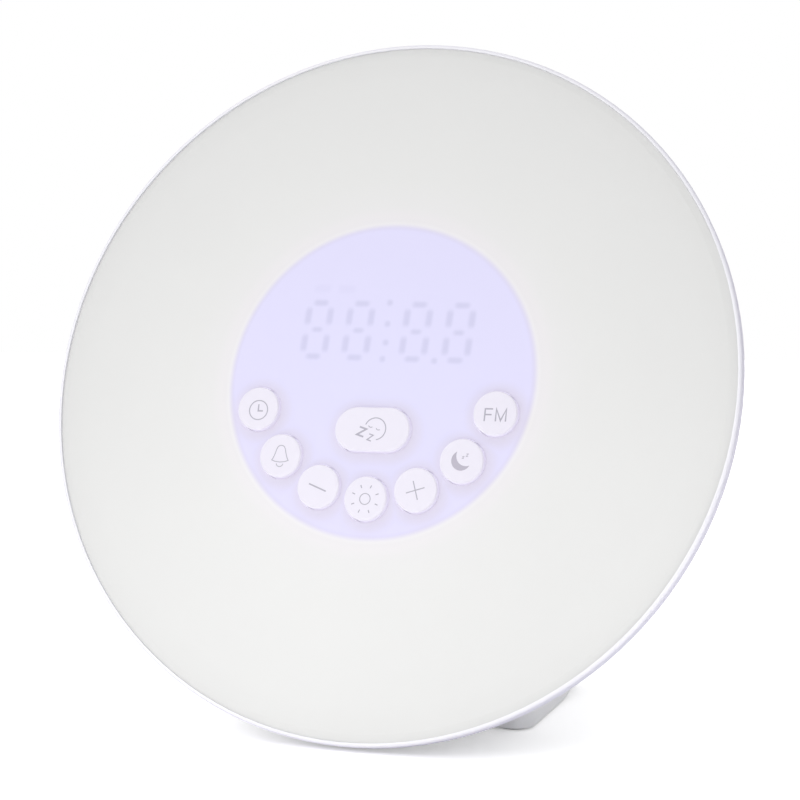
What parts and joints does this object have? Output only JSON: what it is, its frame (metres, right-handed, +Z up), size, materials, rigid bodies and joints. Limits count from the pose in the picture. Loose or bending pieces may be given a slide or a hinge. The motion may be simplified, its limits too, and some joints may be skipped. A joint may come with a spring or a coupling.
{
  "type": "sunrise alarm clock",
  "caption": "Round sunrise alarm clock: an opal light disc with lit digits and an arc of keys, leaning back on an arched speaker pod that is its foot.",
  "frame": {"origin": "on the table, under the middle of the clock's bounding box", "axes": "+Z up, the face looks to -Y and leans back by 16.2 degrees, +X to the viewer's right"},
  "size_m": [0.17, 0.088, 0.1645],
  "materials": {
    "housing_white": "satin white ABS",
    "opal_panel": "opal acrylic, matt front",
    "key_white": "translucent white keys",
    "rubber_grey": "matt rubber",
    "chassis_white": "white moulded chassis",
    "circuit_board": "green solder mask",
    "black_part": "black moulding",
    "led_package": "white LED packages",
    "digit_glow": "lit segments",
    "steel": "zinc-plated steel",
    "nickel": "bright nickel plate",
    "magnet_iron": "ferrite magnet and iron plates",
    "copper_coil": "copper winding",
    "cone_paper": "black paper cone",
    "foam": "black foam and rubber edge",
    "cable_grey": "cable insulation",
    "tape": "double-sided tape"
  },
  "bodies": {
    "clock": {"antenna_grommet": "rubber_grey", "back_cover": "housing_white", "backlight_leds": "led_package", "battery_contacts": "nickel", "battery_leads": "cable_grey", "cable_headers": "chassis_white", "coin_cell": "nickel", "control_board": "circuit_board", "control_board_screws": "steel", "control_chips": "black_part", "cover_screws": "steel", "digit_module": "black_part", "digit_segments": "digit_glow", "front_panel": "opal_panel", "key_switches": "black_part", "light_dam": "chassis_white", "light_dam_screws": "steel", "panel_tape": "tape", "pod_screws": "steel", "pod_shell": "housing_white", "power_board": "circuit_board", "power_board_chips": "black_part", "power_board_screws": "steel", "power_socket": "nickel", "rear_shell": "housing_white", "ribbon_cable": "cable_grey", "ring_board": "circuit_board", "ring_board_screws": "steel", "ring_cable": "cable_grey", "rubber_feet": "rubber_grey", "speaker_basket": "steel", "speaker_gasket": "foam", "speaker_leads": "cable_grey", "speaker_magnet": "magnet_iron", "speaker_screws": "steel", "speaker_surround": "foam", "sunrise_leds": "led_package"},
    "key_clock": {"key_clock": "key_white", "plunger_clock": "black_part"},
    "key_bell": {"key_bell": "key_white", "plunger_bell": "black_part"},
    "key_minus": {"key_minus": "key_white", "plunger_minus": "black_part"},
    "key_sun": {"key_sun": "key_white", "plunger_sun": "black_part"},
    "key_plus": {"key_plus": "key_white", "plunger_plus": "black_part"},
    "key_moon": {"key_moon": "key_white", "plunger_moon": "black_part"},
    "key_radio": {"key_radio": "key_white", "plunger_radio": "black_part"},
    "key_snooze": {"key_snooze": "key_white", "plunger_snooze": "black_part"},
    "battery_door": {"battery_door": "housing_white"},
    "speaker_cone": {"speaker_cone": "cone_paper", "dust_cap": "cone_paper", "voice_coil": "copper_coil"}
  },
  "joints": [
    {"name": "clock_key_press", "type": "slide", "parent": "clock", "child": "key_clock", "axis": [0, 0.9603, -0.279], "range_m": [0, 0.0004], "stiffness_N_per_m": 400, "springref_m": -0.0005},
    {"name": "bell_key_press", "type": "slide", "parent": "clock", "child": "key_bell", "axis": [0, 0.9603, -0.279], "range_m": [0, 0.0004], "stiffness_N_per_m": 400, "springref_m": -0.0005},
    {"name": "minus_key_press", "type": "slide", "parent": "clock", "child": "key_minus", "axis": [0, 0.9603, -0.279], "range_m": [0, 0.0004], "stiffness_N_per_m": 400, "springref_m": -0.0005},
    {"name": "sun_key_press", "type": "slide", "parent": "clock", "child": "key_sun", "axis": [0, 0.9603, -0.279], "range_m": [0, 0.0004], "stiffness_N_per_m": 400, "springref_m": -0.0005},
    {"name": "plus_key_press", "type": "slide", "parent": "clock", "child": "key_plus", "axis": [0, 0.9603, -0.279], "range_m": [0, 0.0004], "stiffness_N_per_m": 400, "springref_m": -0.0005},
    {"name": "moon_key_press", "type": "slide", "parent": "clock", "child": "key_moon", "axis": [0, 0.9603, -0.279], "range_m": [0, 0.0004], "stiffness_N_per_m": 400, "springref_m": -0.0005},
    {"name": "radio_key_press", "type": "slide", "parent": "clock", "child": "key_radio", "axis": [0, 0.9603, -0.279], "range_m": [0, 0.0004], "stiffness_N_per_m": 400, "springref_m": -0.0005},
    {"name": "snooze_key_press", "type": "slide", "parent": "clock", "child": "key_snooze", "axis": [0, 0.9603, -0.279], "range_m": [0, 0.0004], "stiffness_N_per_m": 400, "springref_m": -0.0005},
    {"name": "battery_door_hinge", "type": "hinge", "parent": "clock", "child": "battery_door", "pos_m": [0.008, 0.0431, 0.011], "axis": [-1, 0, 0], "range_deg": [0, 90]},
    {"name": "speaker_cone_stroke", "type": "slide", "parent": "clock", "child": "speaker_cone", "axis": [0, 1, 0], "range_m": [-0.0005, 0.0005], "stiffness_N_per_m": 1500, "deforming": ["speaker_surround"]}
  ]
}
